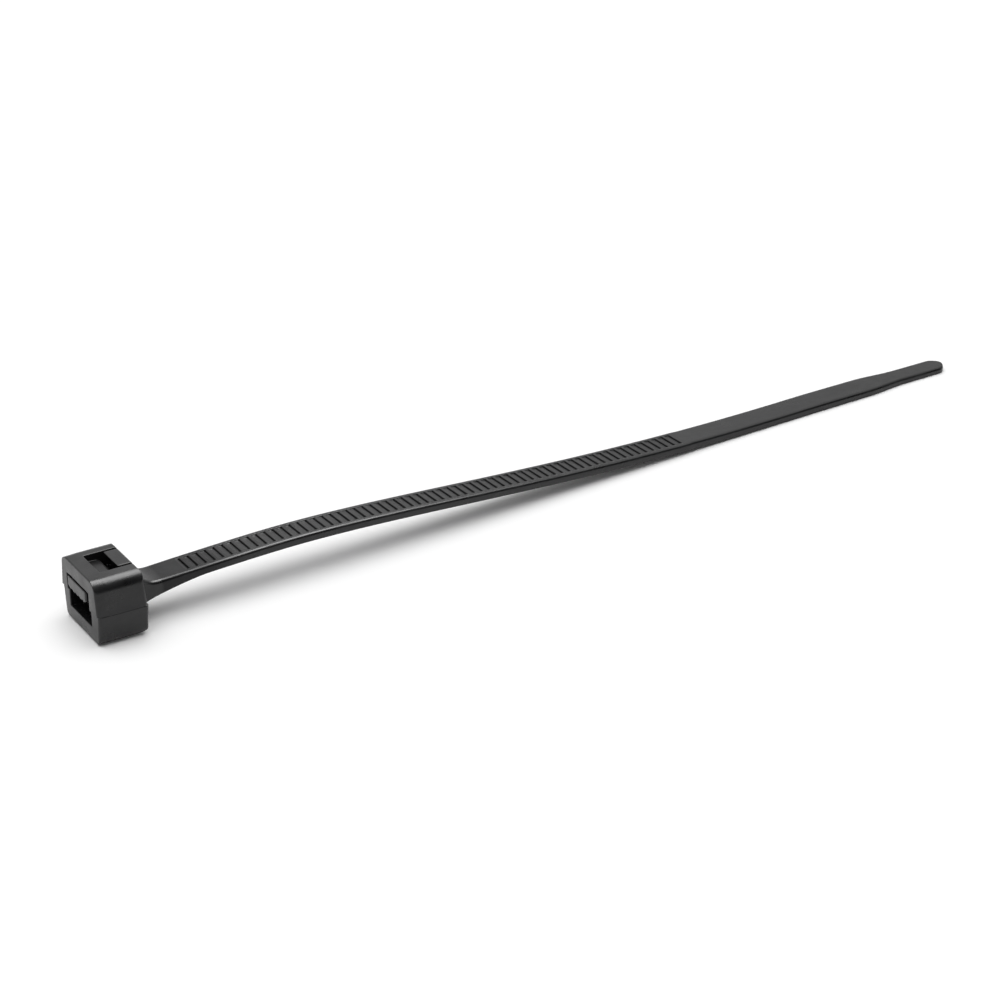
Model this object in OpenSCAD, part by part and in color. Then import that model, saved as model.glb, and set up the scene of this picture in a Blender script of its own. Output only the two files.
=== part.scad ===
// Cable tie of moulded nylon: a ratchet head and a long toothed strap, one piece.
// Lengths in millimetres. X runs along the strap, Y across it, Z up.
// The origin is the centre of the head's flat underside, which lies on the table.

/* [Head block] */
// Length of the head along the strap, at its top
head_l = 5.85; // [5.2:0.05:7]
// Height of the head
head_h = 7.8; // [7:0.1:9]
// Height of the parting line between the two mould halves
part_z = 3.85; // [3.4:0.05:4.4]
// Width of the lower half at the parting line
lower_w = 9.8; // [9.2:0.1:10.4]
// Width of the upper half at the parting line
upper_w = 9.8; // [9.2:0.1:10.4]
// Width of the underside before its long edges are rounded
base_w = 9; // [8:0.1:9.2]
// Width of the top before its long edges are rounded
top_w = 8.8; // [7.8:0.1:9]
// Sideways shift of the upper mould half
mould_shift = 0.06; // [0:0.02:0.2]
// How much nearer the front the upper mould half sits
mould_slip = 0.16; // [0:0.02:0.2]
// Sideways shift of the core that forms the throat and the window
core_shift = 0.24; // [0:0.02:0.3]
// Radius of the long edges of the top
top_r = 1.3; // [0.8:0.1:1.6]
// Radius of the long edges of the underside
base_r = 1.2; // [0.8:0.1:2]
// Draft angle of the back face, in degrees
back_draft = 1.5; // [1:0.5:5]
// Radius of the back edge of the underside
heel_r = 1.3; // [0.4:0.1:1.4]
// Length over which the upper half narrows to the front face
taper_l = 1.5; // [1:0.1:2]
// Loss of half width of the upper half at the front face
taper = 0.1; // [0.06:0.02:0.3]
// Width and depth of the split line on the front face
split = 0.12; // [0.08:0.02:0.16]

/* [Throat] */
// Width of the front opening
throat_w = 5.7; // [5.3:0.1:6]
// Height of the throat's floor at the front face
floor_front = 1.8; // [1.5:0.1:2.2]
// Height of the throat's floor at the back face
floor_back = 0.95; // [0.8:0.05:1.3]
// Height of the throat's ceiling
ceiling_z = 6; // [5.6:0.05:6.2]
// Thickness of the wall at the back of the throat
back_wall = 1.05; // [0.8:0.05:1.3]
// Room left around the strap where it leaves the head
exit_fit = 0.2; // [0.1:0.05:0.3]

/* [Window and tab] */
// Length of the bar in front of the window
bar_l = 1.8; // [1.5:0.1:2.1]
// Width of the window in the top
window_w = 4.4; // [4:0.1:4.8]
// Width of each slit beside the tab
slit = 0.3; // [0.2:0.05:0.4]
// Length of the tab from the back edge
tab_l = 1.8; // [1.5:0.1:2]
// Thickness of the tab
tab_t = 0.5; // [0.4:0.05:0.9]

/* [Pawl] */
// Width of the pawl's body
pawl_w = 4.9; // [4.4:0.1:5.1]
// Height of the lower edge of the pawl's nose
nose_z = 4.4; // [4:0.05:4.6]
// Distance that the nose stands out in front of the head
nose_out = 0.1; // [0:0.05:0.4]
// Height of the pawl's back above the table
pawl_h = 6.95; // [6.6:0.05:7.2]
// Thickness of the living hinge
hinge_t = 0.8; // [0.6:0.05:1]
// Depth that the pawl's teeth reach into the ladder
bite = 0.18; // [0.12:0.01:0.2]
// Number of teeth on the pawl
pawl_teeth = 2; // [1:1:2]

/* [Strap] */
// Length of the strap from the head's back to the tip, along its curve
strap_len = 121.2; // [110:0.2:140]
// Width of the strap
strap_w = 4.15; // [3.9:0.05:4.4]
// Thickness of the strap
strap_t = 1; // [0.9:0.02:1.1]
// Radius of the long top edges
edge_r = 0.35; // [0.2:0.05:0.4]
// Width of the plain tail
tail_w = 4; // [3.7:0.05:4.1]
// Width of the narrow tongue at the tip
tongue_w = 3.05; // [2.8:0.05:3.5]
// Length of the narrow tongue
tongue_l = 9.5; // [8:0.5:12]
// Loss of thickness at the tip
tip_thin = 0.18; // [0.05:0.01:0.3]

/* [Ladder] */
// Number of ratchet recesses
teeth = 65; // [40:1:66]
// Distance from one recess to the next
pitch = 1.085; // [1:0.005:1.1]
// Distance from the head's back to the first locking wall
first_tooth = 6.9; // [6.5:0.1:9]
// Depth of a recess at its locking wall
tooth_h = 0.24; // [0.2:0.01:0.3]
// Width of the rail on each side of the ladder
rail_w = 0.7; // [0.6:0.01:0.8]

/* [Arch of the strap] */
// Height of the strap's top where it leaves the head
root_z = 4.67; // [4.3:0.05:5]
// Distance from the head's back to the highest point
crown_x = 18.6; // [14:0.2:24]
// Height of the strap's top at its highest point
crown_z = 5.17; // [4.9:0.01:5.6]
// Distance from the head's back to where the strap lies flat
landing_x = 95; // [85:1:100]
// Sideways bend of the strap seen from above
bow = 4.2; // [1:0.1:6]
// Length over which the strap bends sideways
bow_l = 128; // [120:1:140]
// Rise of the web on top of the strap's root
web_rise = 2.3; // [1.5:0.1:2.6]
// Length of the web on top of the strap's root
web_l = 2.2; // [1.6:0.1:2.8]
// Drop of the gusset under the strap's root
gusset_drop = 1.35; // [1:0.05:1.5]
// Length of the gusset under the strap's root
gusset_l = 9; // [6:0.5:10]

/* [Hidden] */
eps = 0.01;

// Head: halves of its widths, drafts and the place of the inner walls.
lower_draft = atan((lower_w - base_w) / 2 / part_z);
upper_draft = atan((upper_w - top_w) / 2 / (head_h - part_z));
part_l = head_l + (head_h - part_z) * tan(back_draft);
chamber_l = head_l - back_wall;
floor_slope = (floor_front - floor_back) / head_l;
exit_h = strap_t + exit_fit;
exit_w = strap_w + 2 * exit_fit;
tab_w = window_w - 2 * slit;

// Pawl: its teeth are the ladder's own profile, turned over.
ramp_part = 0.7;
ladder_w = strap_w - 2 * rail_w;
pawl_tooth_w = ladder_w - exit_fit / 2;
pawl_gap = 0.15;
pawl_end = 4.05 / 5.9 * head_l;
nose_r = 0.45;

// Path of the middle line of the strap's top, as cubic curves.
root_slope = 0.022;
root_pull = crown_x * 0.338;
crown_pull_in = crown_x * 0.336;
crown_pull_out = crown_x;
landing_pull = landing_x * 0.369;
arch_steps = 48;
thin_from = strap_len - 23;
thin_to = strap_len - 5;

function blend(a, b, c, d, u) =
    pow(1 - u, 3) * a + 3 * pow(1 - u, 2) * u * b + 3 * (1 - u) * u * u * c + pow(u, 3) * d;
function ramp(u) = min(max(u, 0), 1);
function plan_y(x) = bow * (1 - cos(180 * ramp(x / bow_l))) / 2;
function thinned(x) = tip_thin * ramp((x - thin_from) / (thin_to - thin_from));

rise_xz = [for (i = [0 : arch_steps]) blend([0, root_z],
    [root_pull, root_z + root_slope * root_pull],
    [crown_x - crown_pull_in, crown_z], [crown_x, crown_z], i / arch_steps)];
fall_xz = [for (i = [1 : 2 * arch_steps]) blend([crown_x, crown_z],
    [crown_x + crown_pull_out, crown_z],
    [landing_x - landing_pull, strap_t], [landing_x, strap_t], i / (2 * arch_steps))];
flat_xz = [for (i = [1 : arch_steps]) [landing_x + i * (strap_len + 4 - landing_x) / arch_steps, strap_t]];
path = [for (p = concat([[-2, root_z - 2 * root_slope]], rise_xz, fall_xz, flat_xz))
    [p[0], plan_y(p[0]), p[1] - thinned(p[0])]];

// Distance along the path at each of its points, counted from the head's back.
runs = [for (i = 0, s = -norm(path[1] - path[0]); i < len(path);
    s = s + norm(path[min(i + 1, len(path) - 1)] - path[i]), i = i + 1) s];
function table(k) = [for (i = [0 : len(path) - 1]) [runs[i], path[i][k]]];
x_table = table(0);
y_table = table(1);
z_table = table(2);
function at(s) = [lookup(s, x_table), lookup(s, y_table), lookup(s, z_table)];
function along(s) = let (d = at(s + 0.5) - at(s - 0.5)) d / norm(d);
function across(s) = let (d = along(s)) [-d[1], d[0], 0] / norm([d[0], d[1]]);

// Strap: half its width, the web above its top and its depth, along the path.
ladder_end = first_tooth + (teeth - 1) * pitch + pitch / 2;
tongue_from = strap_len - tongue_l;
neck_l = 4;
flare = 0.45;
tail_step = 1.2;
function half_w(s) =
    strap_w / 2 + flare * pow(1 - ramp(s / web_l), 2)
    - (strap_w - tail_w) / 2 * ramp((s - ladder_end) / tail_step)
    - (tail_w - tongue_w) / 2 * ramp((s - tongue_from + neck_l) / neck_l);
function web(s) = web_rise * pow(1 - ramp(s / web_l), 1.5);
function depth(s) =
    strap_t - thinned(lookup(s, x_table)) + gusset_drop * pow(1 - ramp(s / gusset_l), 1.6);

// Cross-section: top edges rounded in three steps, bottom edges broken.
arris = 0.12;
edge_steps = 3;
function half_section(w, top, low) = concat(
    [for (i = [0 : edge_steps])
        [w - edge_r + edge_r * sin(90 * i / edge_steps), top - edge_r + edge_r * cos(90 * i / edge_steps)]],
    [[w, -low + arris], [w - arris, -low]]);
function flipped(half) = [for (i = [len(half) - 1 : -1 : 0]) [-half[i][0], half[i][1]]];
function section(w, top, low) = let (half = half_section(w, top, low)) concat(half, flipped(half));

bury = 0.6;
stations = concat([-bury, 0], [for (i = [1 : 6]) web_l * i / 6],
    [for (i = [1 : 4]) web_l + (gusset_l - web_l) * i / 4],
    [for (i = [1 : 20]) gusset_l + (ladder_end - gusset_l) * i / 20],
    [ladder_end + tail_step],
    [for (i = [1 : 6]) ladder_end + tail_step + (tongue_from - neck_l - ladder_end - tail_step) * i / 6],
    [tongue_from, (tongue_from + strap_len) / 2, strap_len]);

module ribbon() {
    ring = len(section(half_w(0), 0, depth(0)));
    last = len(stations) - 1;
    points = [for (s = stations)
        let (t = along(s), n = across(s), b = cross(t, n), o = at(s))
        for (p = section(half_w(s), web(s), depth(s))) o + p[0] * n + p[1] * b];
    sides = [for (i = [0 : last - 1], j = [0 : ring - 1])
        let (k = (j + 1) % ring)
        for (f = [[i * ring + j, i * ring + k, (i + 1) * ring + k],
                  [i * ring + j, (i + 1) * ring + k, (i + 1) * ring + j]]) f];
    ends = [[for (j = [ring - 1 : -1 : 0]) j], [for (j = [0 : ring - 1]) last * ring + j]];
    polyhedron(points, concat(sides, ends));
}

// Stands its children at a distance s along the path, X along the strap.
module on_path(s) {
    t = along(s);
    translate(at(s))
    rotate([0, -asin(t[2]), atan2(t[1], t[0])])
    children();
}

// One recess: a floor that falls towards the tip and ends at a steep locking wall.
module recess(ramp_l) {
    above = web_rise;
    rotate([90, 0, 0])
    linear_extrude(height = ladder_w, center = true)
    polygon([[-ramp_l, 0], [0, -tooth_h], [0, above], [-ramp_l, above]]);
}

module ladder() {
    lead_in = 0.3;
    for (i = [0 : teeth - 1])
        on_path(first_tooth + i * pitch)
        recess(pitch * (i == 0 ? lead_in : ramp_part));
}

// What lies outside the round end of the tongue.
module tip_trim() {
    on_path(strap_len - tongue_w / 2)
    linear_extrude(height = 4 * strap_t, center = true)
    difference() {
        translate([0, -strap_w]) square([strap_w, 2 * strap_w]);
        circle(d = tongue_w, $fn = 48);
    }
}

module strap() {
    translate([head_l / 2, 0, 0])
    difference() {
        ribbon();
        ladder();
        tip_trim();
    }
}

// Outline of one mould half seen from the front: drafted sides, long edges rounded.
// Heights are counted from the parting line towards the half's flat face.
module half_outline(part_w, face_w, h, r) {
    slope = atan((part_w - face_w) / 2 / h);
    turn = 90 - slope;
    inset = r * tan(turn / 2);
    corner_y = face_w / 2 - inset;
    corner_z = h - r;
    steps = 12;
    half = concat([[part_w / 2, 0]],
        [for (i = [0 : steps]) let (a = slope + turn * i / steps)
            [corner_y + r * cos(a), corner_z + r * sin(a)]]);
    polygon(concat(half, flipped(half)));
}

// Draws a front outline (Y, Z) as a body along X, from the front face on.
module stretch_x(l) {
    rotate([90, 0, 90])
    linear_extrude(height = l)
    children();
}

// What the taper takes off one side of the upper half: a wedge that leans with the draft.
module side_taper() {
    lead = 1;
    out = 2;
    translate([0, upper_w / 2, part_z])
    rotate([upper_draft, 0, 0])
    translate([0, 0, -lead])
    linear_extrude(height = head_h)
    polygon([[-lead, -taper * (1 + lead / taper_l)], [taper_l, 0], [taper_l, out], [-lead, out]]);
}

module mould_halves() {
    stretch_x(part_l + mould_slip)
    translate([0, part_z])
    mirror([0, 1])
    half_outline(lower_w, base_w, part_z, base_r);
    translate([0, mould_shift, 0])
    difference() {
        stretch_x(part_l)
        translate([0, part_z])
        half_outline(upper_w, top_w, head_h - part_z, top_r);
        side_taper();
        mirror([0, 1, 0]) side_taper();
    }
}

// Side view of the head: drafted back, rounded heel.
module side_outline() {
    heel_x = head_l + mould_slip;
    difference() {
        polygon([[mould_slip, 0], [heel_x, 0], [part_l + mould_slip, part_z], [part_l, part_z],
            [head_l, head_h], [0, head_h], [0, part_z], [mould_slip, part_z]]);
        translate([heel_x - heel_r, 0])
        difference() {
            translate([0, -eps]) square([2 * heel_r, heel_r]);
            translate([0, heel_r]) circle(r = heel_r, $fn = 64);
        }
    }
}

// Draws a side view (X, Z) as a body of width w across Y.
module stretch_y(w) {
    rotate([90, 0, 0])
    linear_extrude(height = w, center = true)
    children();
}

module block() {
    intersection() {
        mould_halves();
        stretch_y(2 * lower_w) side_outline();
    }
}

// The throat: its floor falls towards the back, where the strap leaves the head.
module throat() {
    lead = 1;
    stretch_y(throat_w)
    polygon([[-lead, floor_front + lead * floor_slope], [chamber_l, floor_back + back_wall * floor_slope],
        [chamber_l, ceiling_z], [-lead, ceiling_z]]);
    stretch_y(exit_w)
    polygon([[chamber_l - lead, floor_back + (back_wall + lead) * floor_slope],
        [head_l + lead, floor_back - lead * floor_slope],
        [head_l + lead, floor_back + exit_h - lead * floor_slope],
        [chamber_l - lead, floor_back + exit_h + (back_wall + lead) * floor_slope]]);
}

module window() {
    translate([bar_l, -window_w / 2, ceiling_z - eps])
    cube([head_l, window_w, head_h]);
}

module split_line() {
    translate([-eps, -lower_w, part_z - split / 2])
    cube([mould_slip + split, 2 * lower_w, split]);
}

// The tab lies flush with the top and stands on the back wall, free on both sides.
module tab() {
    front = head_l - tab_l;
    intersection() {
        stretch_y(tab_w)
        polygon([[front, head_h], [part_l, head_h], [part_l, ceiling_z - tab_t],
            [chamber_l, ceiling_z - tab_t], [chamber_l, head_h - tab_t], [front + tab_t, head_h - tab_t]]);
        stretch_y(2 * lower_w) side_outline();
    }
}

// Side view of the pawl: hinged on the bar, its free end points to the back.
function strap_top(x) = floor_front - floor_slope * x + strap_t;
module pawl_side() {
    last_x = pawl_end;
    pawl_lean = 0.55;
    first_x = last_x - (pawl_teeth - 1) * pitch;
    hinge_x = 0.55;
    nose_top = ceiling_z - pawl_gap;
    bites = [for (i = [0 : pawl_teeth - 1])
        let (x = first_x + i * pitch, z = strap_top(x) + tooth_h - bite)
        for (p = [[x - ramp_part * pitch, z], [x, z - tooth_h], [x, z]]) p];
    polygon(concat(
        [[-nose_out, nose_top], [-nose_out, nose_z]], bites,
        [[last_x, strap_top(last_x) + strap_t], [last_x - pawl_lean, pawl_h], [bar_l + pawl_gap, pawl_h - pawl_gap],
         [bar_l + pawl_gap, nose_top], [hinge_x + hinge_t, nose_top],
         [hinge_x + hinge_t, ceiling_z + eps], [hinge_x, ceiling_z + eps], [hinge_x, nose_top]]));
}

// Front view of the pawl: broad above, narrow enough below to enter the ladder.
module pawl_front() {
    shoulder_z = nose_z + 0.35;
    low_w = pawl_tooth_w;
    half = [[low_w / 2, 0], [low_w / 2, nose_z - nose_r], [low_w / 2 + 0.65, nose_z],
        [pawl_w / 2, shoulder_z], [pawl_w / 2, head_h]];
    polygon(concat(half, flipped(half)));
}

// Plan of the pawl: its free end is a little narrower.
module pawl_plan() {
    narrow = 0.5;
    half = [[-nose_out, pawl_w / 2], [bar_l, pawl_w / 2], [pawl_end, pawl_w / 2 - narrow]];
    polygon(concat(half, [for (i = [len(half) - 1 : -1 : 0]) [half[i][0], -half[i][1]]]));
}

// Two flutes that divide the lower edge of the nose into three.
module flutes() {
    flute_r = 0.3;
    gap = pawl_tooth_w / 3;
    run = pawl_end - pitch;
    fall = nose_z - strap_top(run) - tooth_h;
    for (side = [-1, 1])
        translate([-nose_out - eps, side * gap / 2, nose_z - flute_r / 3])
        rotate([0, 90 + atan(fall / run), 0])
        cylinder(r = flute_r, h = run / 2, $fn = 24);
}

module pawl() {
    difference() {
        intersection() {
            stretch_y(pawl_w) pawl_side();
            translate([-nose_out, 0, 0]) stretch_x(head_l) pawl_front();
            linear_extrude(height = head_h) pawl_plan();
        }
        flutes();
    }
}

module head() {
    translate([-head_l / 2, 0, 0]) {
        difference() {
            block();
            translate([0, core_shift, 0]) {
                throat();
                window();
            }
            split_line();
        }
        translate([0, core_shift, 0]) {
            tab();
            pawl();
        }
    }
}

module cable_tie() {
    color("dimgray")
    union() {
        head();
        strap();
    }
}

cable_tie();
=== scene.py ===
"""Dresses the cable tie: a soft-edged nylon head, a finely toothed strap and a moulded finish.

A plain floor, a light tent and a camera at the photograph's angle stand round it."""
import functools

import bpy
import numpy as np
from bpy.props import FloatProperty, FloatVectorProperty, IntProperty, PointerProperty
from mathutils import Matrix


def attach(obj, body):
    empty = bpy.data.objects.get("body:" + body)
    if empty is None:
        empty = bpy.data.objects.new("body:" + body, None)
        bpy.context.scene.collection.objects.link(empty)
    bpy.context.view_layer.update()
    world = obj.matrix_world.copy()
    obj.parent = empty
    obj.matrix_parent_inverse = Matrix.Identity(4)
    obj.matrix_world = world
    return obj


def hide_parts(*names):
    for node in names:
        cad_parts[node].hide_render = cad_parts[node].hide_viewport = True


bl_info = {
    "name": "Cable tie",
    "version": (1, 0, 0),
    "blender": (4, 5, 0),
    "location": "3D View > Sidebar > Cable tie",
    "description": "Builds a moulded nylon cable tie and a plain studio around it",
    "category": "Object",
}

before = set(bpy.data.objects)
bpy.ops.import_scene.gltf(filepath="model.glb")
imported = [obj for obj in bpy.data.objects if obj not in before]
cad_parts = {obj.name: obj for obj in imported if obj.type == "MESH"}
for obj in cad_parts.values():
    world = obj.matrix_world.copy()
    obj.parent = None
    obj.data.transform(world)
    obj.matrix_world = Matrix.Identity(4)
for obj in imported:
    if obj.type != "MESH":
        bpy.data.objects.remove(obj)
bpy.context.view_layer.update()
MM = 0.001


# ---------------------------------------------------------------------------------------------
# Sizes and colours
# ---------------------------------------------------------------------------------------------

def srgb(code):
    """A hex colour as linear red, green and blue.

    Each part v becomes ((v + 0.055) / 1.055) ^ 2.4, or v / 12.92 where it is very dark."""
    parts = [int(code[i:i + 2], 16) / 255 for i in (0, 2, 4)]
    return tuple(v / 12.92 if v <= 0.04045 else ((v + 0.055) / 1.055) ** 2.4 for v in parts)


def length(name, description, mm):
    """A length property, given in millimetres and kept in metres."""
    return FloatProperty(name=name, description=description, default=mm * MM,
                         subtype="DISTANCE", unit="LENGTH", precision=5)


def colour(name, description, code):
    """A colour property from a hex code."""
    return FloatVectorProperty(name=name, description=description, default=srgb(code),
                               subtype="COLOR", size=3, min=0.0, max=1.0)


class TieHeadSizes(bpy.types.PropertyGroup):
    """Sizes of the ratchet head."""
    head_l: length("Length", "Length of the head along the strap, at its top", 5.85)
    head_h: length("Height", "Height of the head", 7.8)
    part_z: length("Parting line", "Height of the line between the mould halves", 3.85)
    lower_w: length("Lower width", "Width of the lower half at the parting line", 9.8)
    upper_w: length("Upper width", "Width of the upper half at the parting line", 9.8)
    base_w: length("Base width", "Width of the underside before rounding", 9.0)
    top_w: length("Top width", "Width of the top before rounding", 8.8)
    mould_shift: length("Mould shift", "Sideways shift of the upper half", 0.06)
    slip: length("Mould slip", "How much nearer the front the upper half sits", 0.16)
    pawl_shift: length("Pawl shift", "Sideways place of the pawl in the throat", 0.12)
    core_shift: length("Core shift", "Sideways shift of throat and window", 0.24)
    top_r: length("Top radius", "Radius of the long edges of the top", 1.3)
    base_r: length("Base radius", "Radius of the long edges of the underside", 1.2)
    heel_r: length("Heel radius", "Radius of the back edge of the underside", 1.3)
    taper_l: length("Taper length", "Length over which the upper half narrows to the front", 1.5)
    taper: length("Taper", "Loss of half width of the upper half at the front face", 0.1)
    throat_w: length("Throat width", "Width of the front opening", 5.7)
    floor_front: length("Floor, front", "Height of the throat's floor at the front", 1.8)
    floor_back: length("Floor, back", "Height of the throat's floor at the back", 0.95)
    ceiling_z: length("Ceiling", "Height of the throat's ceiling", 6.0)
    back_wall: length("Back wall", "Thickness of the wall behind the throat", 1.05)
    bar_l: length("Bar", "Length of the bar in front of the window", 1.8)
    window_w: length("Window width", "Width of the window in the top", 4.4)
    slit: length("Slit", "Width of the slit beside the tab", 0.3)
    tab_l: length("Tab length", "Length of the tab from the back edge", 1.8)
    tab_t: length("Tab thickness", "Thickness of the tab", 0.5)
    pawl_w: length("Pawl width", "Width of the pawl's body", 4.9)
    pawl_h: length("Pawl height", "Height of the pawl's back above the table", 6.95)
    nose_z: length("Nose", "Height of the lower edge of the pawl's nose", 4.4)
    nose_out: length("Nose reach", "Distance that the nose stands out of the head", 0.1)
    back_draft: FloatProperty(name="Back draft", description="Lean of the back face",
                              default=np.radians(1.5), subtype="ANGLE", unit="ROTATION")
    cell: length("Cell", "Spacing of the grid on which the head's skin is found", 0.085)


class TieStrapSizes(bpy.types.PropertyGroup):
    """Sizes of the toothed strap and of the curve in which it lies."""
    strap_len: length("Length", "Length of the strap from the head's back to the tip", 121.195)
    strap_w: length("Width", "Width of the strap", 4.15)
    strap_t: length("Thickness", "Thickness of the strap", 1.0)
    edge_r: length("Edge radius", "Radius of the long top edges", 0.35)
    tail_w: length("Tail width", "Width of the plain tail", 4.0)
    tongue_w: length("Tongue width", "Width of the narrow tongue at the tip", 3.05)
    tongue_l: length("Tongue length", "Length of the narrow tongue", 9.5)
    tip_thin: length("Tip thinning", "Loss of thickness at the tip", 0.18)
    pitch: length("Tooth pitch", "Distance from one recess to the next", 1.085)
    first_tooth: length("First tooth", "Distance from the head's back to the first wall", 6.9)
    tooth_h: length("Tooth height", "Height of a tooth; the recess's notch goes deeper", 0.24)
    rail_w: length("Rail width", "Width of the rail on each side of the ladder", 0.7)
    root_z: length("Root height", "Height of the strap's top at the head", 4.67)
    crown_x: length("Crown place", "Distance from the head's back to the highest point", 18.6)
    crown_z: length("Crown height", "Height of the strap's top at its highest point", 5.17)
    landing_x: length("Landing", "Distance from the head to where the strap lies flat", 95.0)
    bow: length("Bow", "Sideways bend of the strap seen from above", 4.2)
    bow_l: length("Bow length", "Length over which the strap bends sideways", 128.0)
    web_rise: length("Web rise", "Rise of the web on top of the strap's root", 2.3)
    web_l: length("Web length", "Length of the web on top of the strap's root", 3.0)
    gusset_drop: length("Gusset drop", "Drop of the gusset under the strap's root", 1.35)
    gusset_l: length("Gusset length", "Length of the gusset under the strap's root", 9.0)
    teeth: IntProperty(name="Teeth", description="Number of ratchet recesses", default=65, min=1)


class TieFinish(bpy.types.PropertyGroup):
    """Colours and gloss of the moulded nylon."""
    nylon: colour("Nylon", "Base colour of the moulded nylon", "141415")
    worn: colour("Worn nylon", "Colour where the surface is rubbed or dull", "1d1d1e")
    roughness: FloatProperty(name="Roughness", description="Mean roughness of the surface",
                             default=0.31, min=0.0, max=1.0, subtype="FACTOR")
    grain: length("Grain size", "Size of the moulded grain", 0.18)


class TieStudio(bpy.types.PropertyGroup):
    """Floor, lamps and camera."""
    floor: colour("Floor", "Colour of the floor", "fbfbfb")
    key: FloatProperty(name="Key lamp", description="Power of the lamp behind and to the left",
                       default=0.42, unit="POWER")
    box: FloatProperty(name="Softbox", description="Power of the softbox that reflections see",
                       default=0.25, unit="POWER")
    wall: FloatProperty(name="Tent wall", description="Light from the tent near the horizon",
                        default=0.46)
    roof: FloatProperty(name="Tent roof", description="Light from the tent overhead",
                        default=2.45)
    lean: FloatProperty(name="Tent lean",
                        description="Light the tent gains behind the object and loses in front",
                        default=0.34)
    azimuth: FloatProperty(name="Azimuth", description="Camera's turn round the object",
                           default=np.radians(-32.056), subtype="ANGLE", unit="ROTATION")
    elevation: FloatProperty(name="Elevation", description="Camera's height above the horizon",
                             default=np.radians(27.136), subtype="ANGLE", unit="ROTATION")
    lens: FloatProperty(name="Lens", description="Focal length on a 36 mm sensor, in millimetres",
                        default=91.84, subtype="DISTANCE_CAMERA")


def millimetres(group):
    """The group's values by name, lengths in millimetres and the others as they are."""
    values = {}
    for prop in group.bl_rna.properties:
        if prop.identifier in ("rna_type", "name"):
            continue
        value = getattr(group, prop.identifier)
        values[prop.identifier] = value / MM if getattr(prop, "unit", "NONE") == "LENGTH" else value
    return values


class Sizes:
    """Holds values as attributes, so that a formula reads like the drawing."""

    def __init__(self, **values):
        self.__dict__.update(values)


# ---------------------------------------------------------------------------------------------
# Meshes
# ---------------------------------------------------------------------------------------------

def mesh_object(name, points, faces):
    """An object with its place in its mesh, from points in millimetres and quads or triangles."""
    mesh = bpy.data.meshes.new(name)
    mesh.from_pydata((points * MM).tolist(), [], faces)
    mesh.validate()
    mesh.shade_smooth()
    obj = bpy.data.objects.new(name, mesh)
    bpy.context.scene.collection.objects.link(obj)
    return obj


def lofted(rings):
    """Quads between neighbouring rings of equal count, with a face on each end.

    rings has the shape (stations, points round the section, 3)."""
    count, ring = rings.shape[:2]
    i, j = np.meshgrid(np.arange(count - 1), np.arange(ring), indexing="ij")
    k = (j + 1) % ring
    quads = np.stack([i * ring + j, i * ring + k, (i + 1) * ring + k, (i + 1) * ring + j], -1)
    faces = quads.reshape(-1, 4).tolist()
    faces.append(list(range(ring - 1, -1, -1)))
    faces.append(list(range((count - 1) * ring, count * ring)))
    return rings.reshape(-1, 3), faces


# ---------------------------------------------------------------------------------------------
# Strap
# ---------------------------------------------------------------------------------------------

# Share of a pitch that a recess takes, and the share that the shorter first one takes.
RECESS = 0.7
FIRST_RECESS = 0.3


def ease(q):
    """Smooth step from 0 to 1: three q squared less two q cubed, with q held between 0 and 1."""
    q = np.clip(q, 0, 1)
    return q * q * (3 - 2 * q)


def cubic(a, b, c, d, u):
    """Cubic curve through a and d, pulled by b and c: the usual sum of four blends of u."""
    u = u[:, None]
    return (1 - u) ** 3 * a + 3 * (1 - u) ** 2 * u * b + 3 * (1 - u) * u ** 2 * c + u ** 3 * d


def strap_path(v):
    """Middle line of the strap's top, as points and the distance s along it from the head's back.

    Height: one cubic curve rises from the root to the crown, a second falls to the landing, and a
    straight line follows. Sideways: bow times half of one minus the cosine of x over bow_l."""
    root_slope = 0.022
    pull = 0.338 * v.crown_x
    u = np.linspace(0, 1, 400)
    rise = cubic(np.array([0, v.root_z]), np.array([pull, v.root_z + root_slope * pull]),
                 np.array([v.crown_x * 0.664, v.crown_z]), np.array([v.crown_x, v.crown_z]), u)
    fall = cubic(np.array([v.crown_x, v.crown_z]), np.array([2 * v.crown_x, v.crown_z]),
                 np.array([v.landing_x * 0.631, v.strap_t]), np.array([v.landing_x, v.strap_t]), u)
    flat = np.linspace([v.landing_x, v.strap_t], [v.strap_len + 4, v.strap_t], 200)
    start = np.array([[-2, v.root_z - 2 * root_slope]])
    line = np.concatenate([start, rise, fall[1:], flat[1:]])
    x = line[:, 0]
    y = v.bow * (1 - np.cos(np.pi * np.clip(x / v.bow_l, 0, 1))) / 2
    points = np.stack([x, y, line[:, 1] - thinned(v, x)], 1)
    steps = np.linalg.norm(np.diff(points, axis=0), axis=1)
    s = np.concatenate([[0], np.cumsum(steps)])
    return points, s - steps[0]


def thinned(v, x):
    """Loss of thickness at x: nothing up to 23 mm before the tip, all of it 5 mm before the tip."""
    return v.tip_thin * np.clip((x - v.strap_len + 23) / 18, 0, 1)


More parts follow.
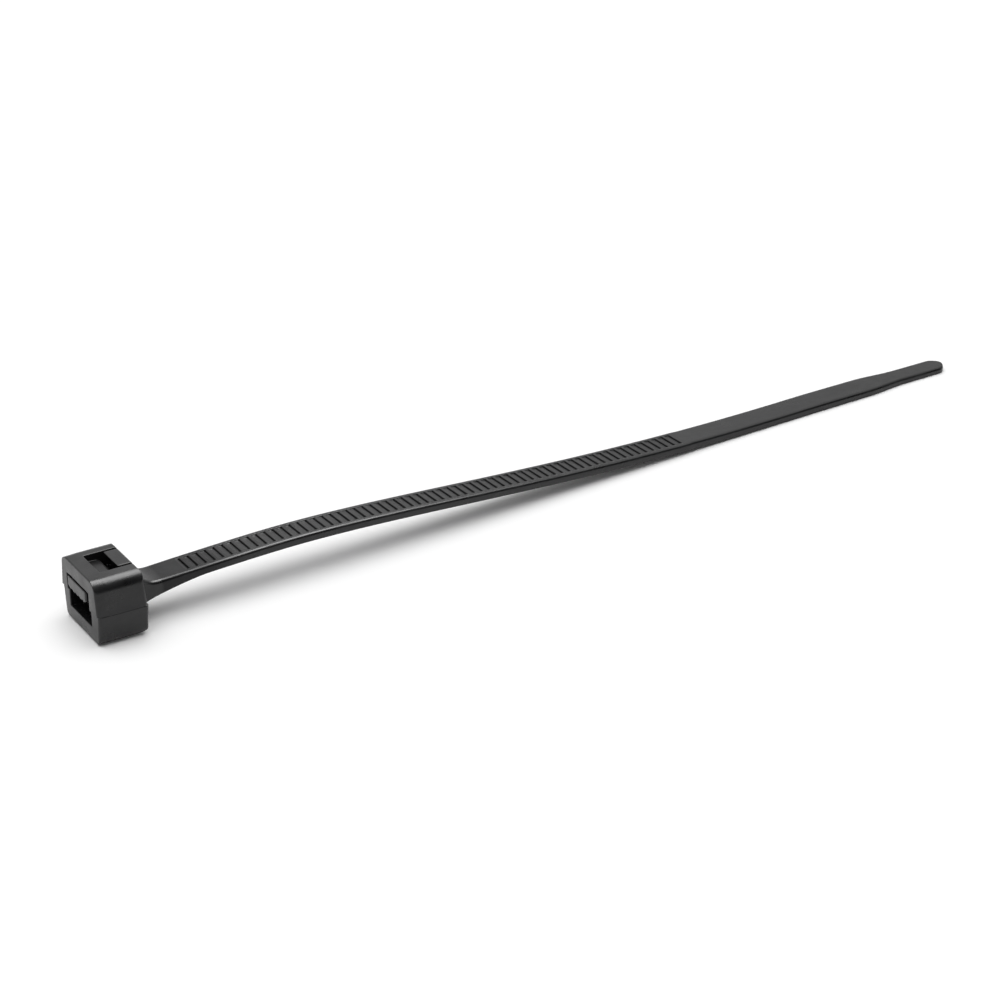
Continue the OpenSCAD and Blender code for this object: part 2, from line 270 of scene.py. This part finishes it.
def ladder_stations(v):
    """Places along the strap: 0.1 or 0.3 mm apart where it is plain, closer in each recess.

    near lists, from a locking wall, where a recess starts, drops, notches and ends."""
    walls = v.first_tooth + np.arange(v.teeth) * v.pitch
    recess = RECESS * v.pitch
    near = np.array([-recess - 0.02, -recess, -recess + 0.03, -recess + 0.07, -recess + 0.1,
                     -0.5 * recess, -0.21, -0.19, -0.1, -0.04, -0.025, -0.012, 0.0, 0.012, 0.045])
    ladder = (walls[:, None] + near).ravel()
    end = v.strap_len
    r = v.tongue_w / 2
    tip = end - r + r * np.sin(np.linspace(0, 0.985, 16) * np.pi / 2)
    plain = np.concatenate([np.arange(-0.6, v.web_l + 0.6, 0.1),
                            np.arange(2.8, walls[0] - recess - 0.1, 0.3),
                            np.arange(walls[-1] + 0.15, end - r - 0.1, 0.3)])
    s = np.sort(np.concatenate([plain, ladder, tip]))
    return s[np.concatenate([[True], np.diff(s) > 0.004])]


def recess_depth(v, s):
    """Depth of the ladder's floor below the strap's top at s.

    It drops within 0.1 mm to 0.4 of the tooth height and falls a tenth more over the recess. In
    the last 0.2 mm a notch goes on down to 1.24 tooth heights, which is deeper than the solid's
    recess and gives the photograph's dark lines. The locking wall then ends it."""
    walls = v.first_tooth + np.arange(v.teeth) * v.pitch
    index = np.clip(np.searchsorted(walls, s - 0.046), 0, v.teeth - 1)
    run = s - walls[index]
    recess = np.where(index == 0, FIRST_RECESS, RECESS) * v.pitch
    drop = ease((run + recess) / 0.1)
    slope = np.clip((run + recess) / recess, 0, 1)
    notch = np.clip((run + 0.2) / 0.2, 0, 1)
    wall = ease((0.012 - run) / 0.037)
    return v.tooth_h * (0.4 * drop + 0.1 * slope + 0.85 * notch) * wall


def strap_rings(v):
    """Sections of the strap along its path, as an array (stations, points round, 3).

    Each section has rounded top edges, a ladder floor between two rails and broken bottom edges.
    The half width flares into the head and narrows to the tail and the tongue, and closes on a
    half circle at the tip. Web and gusset lift the top and drop the bottom near the head."""
    path, run = strap_path(v)
    s = ladder_stations(v)

    def at(q):
        """Points of the path at the distances q along it."""
        return np.stack([np.interp(q, run, path[:, k]) for k in range(3)], -1)

    def fade(reach):
        """One at the head's back, falling evenly to nothing at the distance reach."""
        return 1 - np.clip(s / reach, 0, 1)

    centre = at(s)
    tangent = at(s + 0.5) - at(s - 0.5)
    tangent /= np.linalg.norm(tangent, axis=1)[:, None]
    side = np.stack([-tangent[:, 1], tangent[:, 0], 0 * s], 1)
    side /= np.linalg.norm(side, axis=1)[:, None]
    up = np.cross(tangent, side)

    flare = 0.45 * fade(v.web_l) ** 3 * np.clip((s + 0.2) / 0.1, 0, 1)
    ladder_end = v.first_tooth + (v.teeth - 0.5) * v.pitch
    half = (v.strap_w / 2 + flare
            - (v.strap_w - v.tail_w) / 2 * ease((s - ladder_end) / 1.2)
            - (v.tail_w - v.tongue_w) / 2 * ease((s - v.strap_len + v.tongue_l + 4.4) / 6.5))
    r = v.tongue_w / 2
    half = half * np.sqrt(1 - np.clip((s - v.strap_len + r) / r, 0, 1) ** 2)
    web = v.web_rise * fade(v.web_l) ** 2.5
    low = v.strap_t - thinned(v, centre[:, 0]) + v.gusset_drop * fade(v.gusset_l) ** 1.6
    # Both edge radii shrink with the half circle at the tip, and the top one is larger at the root.
    shrink = np.clip(half, 0.02, 1)
    edge = (v.edge_r + 0.2 * fade(6)) * shrink
    arris = 0.14 * shrink

    turn = np.radians(np.linspace(90, 0, 7))
    foot = np.radians(np.linspace(0, -90, 5))
    rail = v.strap_w / 2 - v.rail_w
    across = np.array([0.25 * rail, 0.6 * rail, rail - 0.04, rail - 0.02, rail + 0.012,
                       rail + 0.04])
    depth = recess_depth(v, s)
    # Half of a section: over the floor and up to the rail, down the side, and along the bottom.
    y, z = [], []
    for share, drop in zip(across / (v.strap_w / 2), (1, 1, 1, 0.93, 0.06, 0)):
        y.append(share * half)
        z.append(web - depth * drop)
    for a in turn:
        y.append(half - edge + edge * np.cos(a))
        z.append(web - edge + edge * np.sin(a))
    for a in foot:
        y.append(half - arris + arris * np.cos(a))
        z.append(-low + arris + arris * np.sin(a))
    y.append(0.4 * half)
    z.append(-low)
    y, z = np.stack(y, 1), np.stack(z, 1)
    # The other half mirrors it, and the ring is turned round so that its faces point outwards.
    y = np.concatenate([y, -y[:, ::-1]], 1)[:, ::-1]
    z = np.concatenate([z, z[:, ::-1]], 1)[:, ::-1]
    return centre[:, None] + y[..., None] * side[:, None] + z[..., None] * up[:, None]


# ---------------------------------------------------------------------------------------------
# Head
# ---------------------------------------------------------------------------------------------

def most(*distances):
    """The largest of several distances: what lies inside all of them."""
    return functools.reduce(np.maximum, distances)


def both(a, b, r):
    """Distance to what lies inside both a and b, with the shared edge rounded to radius r."""
    return np.minimum(-r, np.maximum(a, b)) + np.hypot(np.maximum(a + r, 0), np.maximum(b + r, 0))


def either(a, b, r):
    """Distance to what lies inside a or b, with the inner corner filled to radius r."""
    return np.maximum(r, np.minimum(a, b)) - np.hypot(np.maximum(r - a, 0), np.maximum(r - b, 0))


def block_distance(v, x, y, z):
    """Signed distance to the head's block: drafted sides, top, base, front and back planes.

    The half width changes from the lower to the upper value at the parting line, where a fine
    groove runs round, and the upper half sits a little nearer the front. Both sides narrow a
    little towards the front. Each pair of planes meets on its own edge radius, and the corners at
    the back have a larger one on the side of positive y, as the photograph's outline asks."""
    tan_low = (v.lower_w - v.base_w) / 2 / v.part_z
    tan_up = (v.upper_w - v.top_w) / 2 / (v.head_h - v.part_z)
    above = np.clip((z - v.part_z) / 0.03 + 0.5, 0, 1)
    groove = np.exp(-((z - v.part_z) / 0.045) ** 2)
    behind = np.clip((x - v.taper_l) / 0.15, 0, 1)
    narrow = np.clip(1 - x / v.taper_l, 0, 1)
    x = x - v.slip * (1 - above)
    low = np.abs(y) - v.lower_w / 2 + (v.part_z - z) * tan_low + 0.5 * v.taper * narrow
    shift = np.where(y > 0, v.mould_shift, 0.3 * v.mould_shift)
    up = np.abs(y - shift) - v.upper_w / 2 + (z - v.part_z) * tan_up + v.taper * narrow
    sides = (low + (up - low) * above + 0.03 * groove * behind) * np.cos(np.arctan(tan_low))
    top = z - v.head_h
    base = -z
    front = -x + 0.1 * groove
    lean = np.tan(v.back_draft)
    bulge = (v.head_h - v.part_z) * lean
    bulge = np.where(z > v.part_z, (v.head_h - z) * lean, bulge * z / v.part_z)
    back = x - v.head_l - bulge + 0.04 * groove
    side_front_r = np.where(y < 0, 0.45 - 0.2 * above, 0.25)
    side_back_r = np.where(y > 0, 0.65, 0.4)
    top_back_r = 0.3 + 0.3 * np.clip((y - 3.2) / 1.4, 0, 1)
    return most(both(sides, top, v.top_r), both(sides, base, v.base_r),
                both(base, back, v.heel_r), both(sides, back, side_back_r),
                both(top, back, top_back_r), both(sides, front, side_front_r),
                both(top, front, 0.15), both(base, front, 0.3))


def throat_distance(v, x, y, z):
    """Signed distance to the throat: a slot with a falling floor, and the narrow way out behind."""
    slope = (v.floor_front - v.floor_back) / v.head_l
    floor = v.floor_front - slope * x - z
    wide = both(both(np.abs(y) - v.throat_w / 2, z - v.ceiling_z, 0.15), floor, 0.15)
    wide = both(wide, x - (v.head_l - v.back_wall), 0.1)
    out = both(np.abs(y) - v.exit_w / 2, both(floor, -floor - v.exit_h, 0.12), 0.12)
    return either(wide, np.maximum(out, 1.0 - x), 0.05)


def window_distance(v, x, y, z):
    """Signed distance to the window in the top, less the tab and the wall that carries it."""
    hole = both(np.abs(y) - v.window_w / 2, v.bar_l - x, 0.12)
    hole = np.maximum(hole, v.ceiling_z - 0.2 - z)
    beside = np.abs(y) - v.tab_w / 2
    plate = both(beside, v.head_l - v.tab_l + 0.8 * (v.head_h - z) - x, 0.1)
    plate = np.maximum(plate, v.head_h - v.tab_t - z)
    carrier = np.maximum(beside, v.head_l - v.back_wall - x)
    return np.maximum(hole, -np.minimum(plate, carrier))


def pawl_distance(v, x, y, z):
    """Signed distance to the pawl: a wedge on a thin hinge, its teeth the ladder turned over.

    Its underside falls from the nose to the teeth as a chain of straight lines, and two flutes
    divide the nose's lower edge. It is broad above and narrows to the ladder's width below."""
    end = v.head_l * 4.05 / 5.9
    first = end - v.pitch
    slope = (v.floor_front - v.floor_back) / v.head_l

    def strap_top(q):
        """Height of an inserted strap's top at q, lying on the throat's falling floor."""
        return v.floor_front - slope * q + v.strap_t

    bite = 0.18
    flute_pitch = 0.94
    knots = [(-v.nose_out, v.nose_z)]
    for q in (first, end):
        land = strap_top(q) + v.tooth_h - bite
        knots += [(q - RECESS * v.pitch, land), (q, land - v.tooth_h), (q + 0.03, land)]
    kx, kz = np.array(knots).T
    under = np.interp(x, kx, kz)
    flute = 0.5 + 0.5 * np.cos(2 * np.pi * y / flute_pitch)
    under = under + 0.3 * (1 - np.sqrt(flute)) * np.clip((1.6 - x) / 0.8, 0, 1)
    half_low = v.tooth_w / 2
    half_top = v.pawl_w / 2 - 0.5 * np.clip((x - v.bar_l) / (end - v.bar_l), 0, 1)
    half = np.interp(z, [v.nose_z - 0.45, v.nose_z, v.nose_z + 0.35], [0.0, 0.55, 1.0])
    sides = (np.abs(y) - half_low - (half_top - half_low) * half) * 0.7
    lean = 0.3 / (v.pawl_h - strap_top(end))
    rear = (x - end + (z - strap_top(end)) * lean) * 0.98
    gap = 0.15
    nose_top = v.ceiling_z - gap
    bottom = (under - z) * 0.85
    nose = np.maximum(both(z - nose_top, -v.nose_out - x, 0.08), x - v.bar_l - 0.6)
    body = both(both(z - v.pawl_h, rear, 0.35), v.bar_l + gap - x, 0.15)
    solid = both(both(np.minimum(nose, body), sides, 0.2), bottom, 0.1)
    solid = np.maximum(solid, rear)
    neck = most(0.55 - x, x - 1.35, np.abs(y) - v.pawl_w / 2 + 0.2,
                z - v.ceiling_z - 0.3, nose_top - 0.3 - z)
    return either(solid, neck, 0.1)


def head_distance(v, x, y, z):
    """Signed distance to the whole head: block less throat and window, plus the pawl."""
    inner = y - v.core_shift
    d = both(block_distance(v, x, y, z), -throat_distance(v, x, inner, z), 0.09)
    d = both(d, -window_distance(v, x, inner, z), 0.06)
    return np.minimum(d, pawl_distance(v, x, inner - v.pawl_shift, z))


def skin(distance, xs, ys, zs):
    """Closed quad mesh of the surface where a signed distance is zero, found on a grid.

    Each grid cell whose corners differ in sign gets one point, the mean of the crossings on its
    twelve edges. Each grid edge that crosses the surface gets one quad through its four cells.
    Two steps down the gradient, of at most 0.04 mm, then bring the points onto the surface."""
    d = distance(xs[:, None, None], ys[None, :, None], zs[None, None, :])
    d = np.where(d == 0, 1e-9, d)
    inside = d < 0
    corners = [(a, b, c) for a in (0, 1) for b in (0, 1) for c in (0, 1)]
    n = [k - 1 for k in d.shape]
    filled = sum(inside[a:a + n[0], b:b + n[1], c:c + n[2]].astype(np.int8) for a, b, c in corners)
    cell = np.argwhere((filled > 0) & (filled < 8))
    number = np.full(n, -1, np.int64)
    number[tuple(cell.T)] = np.arange(len(cell))
    grid = (xs, ys, zs)
    total, count = np.zeros((len(cell), 3)), np.zeros(len(cell))
    for p in corners:
        for axis in range(3):
            if p[axis]:
                continue
            q = tuple(p[k] + (k == axis) for k in range(3))
            i, j = cell + p, cell + q
            di, dj = d[tuple(i.T)], d[tuple(j.T)]
            cross = (di < 0) != (dj < 0)
            share = np.where(cross, di / np.where(cross, di - dj, 1), 0)
            a = np.stack([grid[k][i[:, k]] for k in range(3)], 1)
            b = np.stack([grid[k][j[:, k]] for k in range(3)], 1)
            total += np.where(cross[:, None], a + (b - a) * share[:, None], 0)
            count += cross
    points = total / count[:, None]

    quads = []
    for axis in range(3):
        u, w = [k for k in range(3) if k != axis]
        low = [slice(1, -1)] * 3
        high = list(low)
        low[axis], high[axis] = slice(0, -1), slice(1, None)
        a, b = inside[tuple(low)], inside[tuple(high)]
        edge = np.argwhere(a != b)
        leaving = a[tuple(edge.T)]
        edge = edge + [0 if k == axis else 1 for k in range(3)]
        step_u, step_w = np.eye(3, dtype=int)[u], np.eye(3, dtype=int)[w]
        ring = [edge - step_u - step_w, edge - step_w, edge, edge - step_u]
        quad = np.stack([number[tuple(r.T)] for r in ring], 1)
        flip = leaving if axis != 1 else ~leaving
        quads.append(np.where(flip[:, None], quad, quad[:, ::-1]))
    quads = np.concatenate(quads)

    h = 0.004
    for _ in range(2):
        x, y, z = points.T
        here = distance(x, y, z)
        slope = np.stack([distance(x + h, y, z) - distance(x - h, y, z),
                          distance(x, y + h, z) - distance(x, y - h, z),
                          distance(x, y, z + h) - distance(x, y, z - h)], 1) / (2 * h)
        size = np.maximum((slope ** 2).sum(1), 0.3)
        move = -here[:, None] * slope / size[:, None]
        far = np.linalg.norm(move, axis=1)
        points = points + move * np.minimum(1, 0.04 / np.maximum(far, 1e-9))[:, None]
    return points, quads


def spread(start, end, step, fine_at, fine_half, fine_step):
    """Grid lines from start to end a step apart, and closer together round one place."""
    coarse = np.arange(start, end + step, step)
    coarse = coarse[np.abs(coarse - fine_at) > fine_half + 0.5 * fine_step]
    fine = np.arange(fine_at - fine_half, fine_at + fine_half + fine_step / 2, fine_step)
    return np.sort(np.concatenate([coarse, fine]))


# ---------------------------------------------------------------------------------------------
# Finish
# ---------------------------------------------------------------------------------------------

NYLON = "Moulded nylon 6-6, satin"


def add(tree, kind, links=None, **settings):
    """Adds a node to a tree, sets its attributes or sockets, and links sockets from other nodes.

    A setting that is no attribute of the node names a socket, with _ for a space."""
    node = tree.nodes.new(kind)
    for key, value in settings.items():
        if hasattr(node, key):
            setattr(node, key, value)
        else:
            node.inputs[key.replace("_", " ")].default_value = value
    for socket, source in (links or {}).items():
        tree.links.new(source, node.inputs[socket])
    return node


def moulded_nylon(look):
    """Black nylon 6/6, injection moulded: dull satin, with a fine grain and faint flow marks.

    Noise stretched along the strap shades the colour and lifts soft waves, a broader cloud varies
    the roughness, and a finer noise gives the grain."""
    material = bpy.data.materials.new(NYLON)
    material.use_nodes = True
    tree = material.node_tree
    tree.nodes.clear()
    place = add(tree, "ShaderNodeTexCoord").outputs["Object"]
    grain = add(tree, "ShaderNodeTexNoise", {"Vector": place}, Scale=1 / look.grain,
                Detail=3.0, Roughness=0.6)
    stretched = add(tree, "ShaderNodeMapping", {"Vector": place}, Scale=(0.6, 1.0, 1.0))
    flow = add(tree, "ShaderNodeTexNoise", {"Vector": stretched.outputs["Vector"]},
               Scale=1 / (0.9 * MM), Detail=4.0, Roughness=0.55)
    cloud = add(tree, "ShaderNodeTexNoise", {"Vector": place}, Scale=1 / (2.4 * MM),
                Detail=2.0, Roughness=0.5)
    dull = add(tree, "ShaderNodeMapRange", {"Value": flow.outputs["Fac"]},
               From_Min=0.35, From_Max=0.7)
    # Socket 0 is the factor, 6 and 7 are the two colours, and output 2 is the mixed colour.
    shade = add(tree, "ShaderNodeMix", {0: dull.outputs["Result"]}, data_type="RGBA")
    shade.inputs[6].default_value = (*look.nylon, 1)
    shade.inputs[7].default_value = (*look.worn, 1)
    gloss = add(tree, "ShaderNodeMapRange", {"Value": cloud.outputs["Fac"]},
                From_Min=0.3, From_Max=0.7,
                To_Min=look.roughness - 0.06, To_Max=look.roughness + 0.08)
    fine = add(tree, "ShaderNodeBump", {"Height": grain.outputs["Fac"]},
               Strength=0.28, Distance=0.03 * MM)
    waves = add(tree, "ShaderNodeBump",
                {"Height": flow.outputs["Fac"], "Normal": fine.outputs["Normal"]},
                Strength=0.25, Distance=0.06 * MM)
    # The photograph's strap is duller at its root: the specular level falls from 0.5 to 0.3 just
    # behind the head and comes back along the strap. The export drops this link.
    along = add(tree, "ShaderNodeSeparateXYZ", {0: place}).outputs["X"]
    fall = add(tree, "ShaderNodeMapRange", {"Value": along}, interpolation_type="SMOOTHSTEP",
               From_Min=5.9 * MM, From_Max=6.4 * MM, To_Min=0.5, To_Max=0.3)
    rise = add(tree, "ShaderNodeMapRange", {"Value": along}, interpolation_type="SMOOTHSTEP",
               From_Min=11 * MM, From_Max=17 * MM, To_Min=0.3, To_Max=0.5)
    level = add(tree, "ShaderNodeMath", {0: fall.outputs["Result"], 1: rise.outputs["Result"]},
                operation="MAXIMUM")
    shader = add(tree, "ShaderNodeBsdfPrincipled", {
        "Base Color": shade.outputs[2], "Roughness": gloss.outputs["Result"],
        "Normal": waves.outputs["Normal"], "Specular IOR Level": level.outputs[0]}, IOR=1.44)
    add(tree, "ShaderNodeOutputMaterial", {"Surface": shader.outputs["BSDF"]})
    return material


def nylon_material():
    """The one nylon material, made when first asked for."""
    return bpy.data.materials.get(NYLON) or moulded_nylon(bpy.context.scene.tie_finish)


def dress(obj):
    """Gives a piece its finish and its place on the root body."""
    obj.data.materials.append(nylon_material())
    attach(obj, "root")
    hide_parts("cable_tie")


# ---------------------------------------------------------------------------------------------
# Stage
# ---------------------------------------------------------------------------------------------

def floor_material(look):
    """White floor: the camera and mirrors see it white, the object gets a calmer bounce from it."""
    material = bpy.data.materials.new("White card floor")
    material.use_nodes = True
    tree = material.node_tree
    tree.nodes.clear()
    rays = add(tree, "ShaderNodeLightPath").outputs
    seen = add(tree, "ShaderNodeMath",
               {0: rays["Is Camera Ray"], 1: rays["Is Glossy Ray"]}, operation="MAXIMUM")
    seen = add(tree, "ShaderNodeMath",
               {0: seen.outputs[0], 1: rays["Is Transmission Ray"]}, operation="MAXIMUM")
    bounce = add(tree, "ShaderNodeBsdfDiffuse", Color=(*srgb("a0a0a0"), 1))
    card = add(tree, "ShaderNodeBsdfDiffuse", Color=(*look.floor, 1))
    glow = add(tree, "ShaderNodeEmission", Strength=0.01)
    white = add(tree, "ShaderNodeAddShader", {0: card.outputs[0], 1: glow.outputs[0]})
    mix = add(tree, "ShaderNodeMixShader",
              {0: seen.outputs[0], 1: bounce.outputs[0], 2: white.outputs[0]})
    add(tree, "ShaderNodeOutputMaterial", {"Surface": mix.outputs[0]})
    return material


def lamp(name, place, target, size, power):
    """An oblong area lamp at a place in metres, turned towards a target."""
    data = bpy.data.lights.new(name, "AREA")
    data.shape = "RECTANGLE"
    data.size, data.size_y = size
    data.energy = power
    obj = bpy.data.objects.new(name, data)
    bpy.context.scene.collection.objects.link(obj)
    away = np.array(place, float) - np.array(target, float)
    z = away / np.linalg.norm(away)
    x = np.cross([0.0, 0.0, 1.0], z)
    x = x / np.linalg.norm(x) if np.linalg.norm(x) > 1e-6 else np.array([1.0, 0.0, 0.0])
    y = np.cross(z, x)
    matrix = Matrix(np.stack([x, y, z], 1).tolist()).to_4x4()
    matrix.translation = place
    obj.matrix_world = matrix
    return obj


def studio_world(look):
    """A white light tent: its walls' light rises smoothly to the roof's between two heights.

    The direction's y times the lean is added, so that it is brighter behind the object."""
    world = bpy.data.worlds.new("Light tent")
    bpy.context.scene.world = world
    world.use_nodes = True
    tree = world.node_tree
    tree.nodes.clear()
    place = add(tree, "ShaderNodeTexCoord").outputs["Generated"]
    parts = add(tree, "ShaderNodeSeparateXYZ", {0: place}).outputs
    rise = add(tree, "ShaderNodeMapRange", {"Value": parts["Z"]}, interpolation_type="SMOOTHSTEP",
               From_Min=0.66, From_Max=0.97, To_Min=look.wall, To_Max=look.roof)
    light = add(tree, "ShaderNodeMath", {0: parts["Y"], 2: rise.outputs["Result"]},
                operation="MULTIPLY_ADD")
    light.inputs[1].default_value = look.lean
    sky = add(tree, "ShaderNodeBackground", {"Strength": light.outputs[0]},
              Color=(*srgb("ffffff"), 1))
    add(tree, "ShaderNodeOutputWorld", {"Surface": sky.outputs[0]})


def black_card(corners):
    """A black card that only reflections see, from its four corners in millimetres."""
    material = bpy.data.materials.new("Black card")
    material.use_nodes = True
    tree = material.node_tree
    tree.nodes.clear()
    black = add(tree, "ShaderNodeBsdfDiffuse", Color=(*srgb("1a1a1a"), 1))
    add(tree, "ShaderNodeOutputMaterial", {"Surface": black.outputs[0]})
    card = mesh_object("Black card", np.array(corners, float), [[0, 1, 2, 3]])
    card.data.materials.append(material)
    card.visible_camera = card.visible_diffuse = card.visible_shadow = False
    card.visible_transmission = False
    return card


# ---------------------------------------------------------------------------------------------
# Operators
# ---------------------------------------------------------------------------------------------

class TIE_OT_head(bpy.types.Operator):
    """Builds the ratchet head with its throat, window, tab and pawl"""
    bl_idname = "cable_tie.head"
    bl_label = "Build the head"
    bl_options = {"REGISTER", "UNDO"}

    def execute(self, context):
        strap = Sizes(**millimetres(context.scene.tie_strap))
        v = Sizes(**millimetres(context.scene.tie_head), pitch=strap.pitch, tooth_h=strap.tooth_h,
                  strap_t=strap.strap_t)
        exit_fit, tooth_fit = 0.2, 0.1
        v.exit_h, v.exit_w = strap.strap_t + exit_fit, strap.strap_w + 2 * exit_fit
        v.tab_w = v.window_w - 2 * v.slit
        v.tooth_w = strap.strap_w - 2 * strap.rail_w - tooth_fit
        # The grid is finer round the front face and the parting line.
        xs = spread(-0.3, v.head_l + 0.35, v.cell, 0.0, 0.16, 0.04)
        ys = np.arange(-v.lower_w / 2 - 0.25, v.lower_w / 2 + 0.3, v.cell)
        zs = spread(-0.2, v.head_h + 0.2, v.cell, v.part_z, 0.15, 0.03)
        points, quads = skin(lambda x, y, z: head_distance(v, x, y, z), xs, ys, zs)
        points[:, 0] -= v.head_l / 2
        dress(mesh_object("Head", points, quads.tolist()))
        return {"FINISHED"}


class TIE_OT_strap(bpy.types.Operator):
    """Builds the strap with its ladder of recesses, tail and tongue"""
    bl_idname = "cable_tie.strap"
    bl_label = "Build the strap"
    bl_options = {"REGISTER", "UNDO"}

    def execute(self, context):
        v = Sizes(**millimetres(context.scene.tie_strap))
        points, faces = lofted(strap_rings(v))
        points[:, 0] += millimetres(context.scene.tie_head)["head_l"] / 2
        dress(mesh_object("Strap", points, faces))
        return {"FINISHED"}


class TIE_OT_stage(bpy.types.Operator):
    """Sets up the floor, the lamps and the camera"""
    bl_idname = "cable_tie.stage"
    bl_label = "Set the stage"
    bl_options = {"REGISTER", "UNDO"}

    def execute(self, context):
        scene, look = context.scene, context.scene.tie_studio
        # The floor reaches 3 m each way and lies 0.01 mm under the object.
        reach = 3.0
        corner = np.array([[-1, -1, 0], [1, -1, 0], [1, 1, 0], [-1, 1, 0]]) * reach / MM
        corner[:, 2] = -0.01
        floor = mesh_object("Floor", corner, [[0, 1, 2, 3]])
        floor.data.materials.append(floor_material(look))
        key = lamp("Key lamp", (-0.46, 0.74, 0.09), (0, 0, 0), (0.7, 0.16), look.key)
        box = lamp("Softbox", (0.062, 0.024, 0.114), (0, 0, 0), (0.1, 0.1), look.box)
        # Reflections alone see the softbox and the black card: they shape the gloss on the dark
        # plastic, while the tent lights the object at a plain level.
        box.visible_diffuse = box.visible_camera = key.visible_camera = False
        flag = black_card([[80, -600, 0], [1500, -600, 0], [1500, -600, 1700], [80, -600, 1700]])
        studio_world(look)
        # The camera's place, in metres, was fitted to the photograph with its angles and lens.
        a, e = look.azimuth, look.elevation
        away = np.array([np.sin(a) * np.cos(e), -np.cos(a) * np.cos(e), np.sin(e)])
        right = np.array([np.cos(a), np.sin(a), 0])
        data = bpy.data.cameras.new("Camera")
        data.lens, data.sensor_width = look.lens, 36
        data.clip_start, data.clip_end = 0.01, 20
        camera = bpy.data.objects.new("Camera", data)
        scene.collection.objects.link(camera)
        matrix = Matrix(np.stack([right, np.cross(away, right), away], 1).tolist()).to_4x4()
        matrix.translation = (-0.09305, -0.23055, 0.14091)
        camera.matrix_world = matrix
        scene.camera = camera
        scene.view_settings.view_transform = "Standard"
        return {"FINISHED"}


class TIE_PT_panel(bpy.types.Panel):
    """Lists the steps that build the cable tie"""
    bl_idname = "TIE_PT_panel"
    bl_label = "Cable tie"
    bl_space_type = "VIEW_3D"
    bl_region_type = "UI"
    bl_category = "Cable tie"

    def draw(self, context):
        for step in (TIE_OT_head, TIE_OT_strap, TIE_OT_stage):
            self.layout.operator(step.bl_idname)
        for group in ("tie_head", "tie_strap", "tie_finish", "tie_studio"):
            box = self.layout.box()
            for prop in getattr(context.scene, group).bl_rna.properties:
                if prop.identifier not in ("rna_type", "name"):
                    box.prop(getattr(context.scene, group), prop.identifier)


CLASSES = (TieHeadSizes, TieStrapSizes, TieFinish, TieStudio,
           TIE_OT_head, TIE_OT_strap, TIE_OT_stage, TIE_PT_panel)


def register():
    """Registers the classes and hangs the four groups of values on the scene."""
    for cls in CLASSES:
        bpy.utils.register_class(cls)
    bpy.types.Scene.tie_head = PointerProperty(type=TieHeadSizes)
    bpy.types.Scene.tie_strap = PointerProperty(type=TieStrapSizes)
    bpy.types.Scene.tie_finish = PointerProperty(type=TieFinish)
    bpy.types.Scene.tie_studio = PointerProperty(type=TieStudio)


def unregister():
    """Takes back what register did."""
    for name in ("tie_head", "tie_strap", "tie_finish", "tie_studio"):
        delattr(bpy.types.Scene, name)
    for cls in reversed(CLASSES):
        bpy.utils.unregister_class(cls)


def main():
    """Builds the tie and its stage."""
    register()
    bpy.ops.cable_tie.head()
    bpy.ops.cable_tie.strap()
    bpy.ops.cable_tie.stage()


if __name__ == "__main__":
    main()
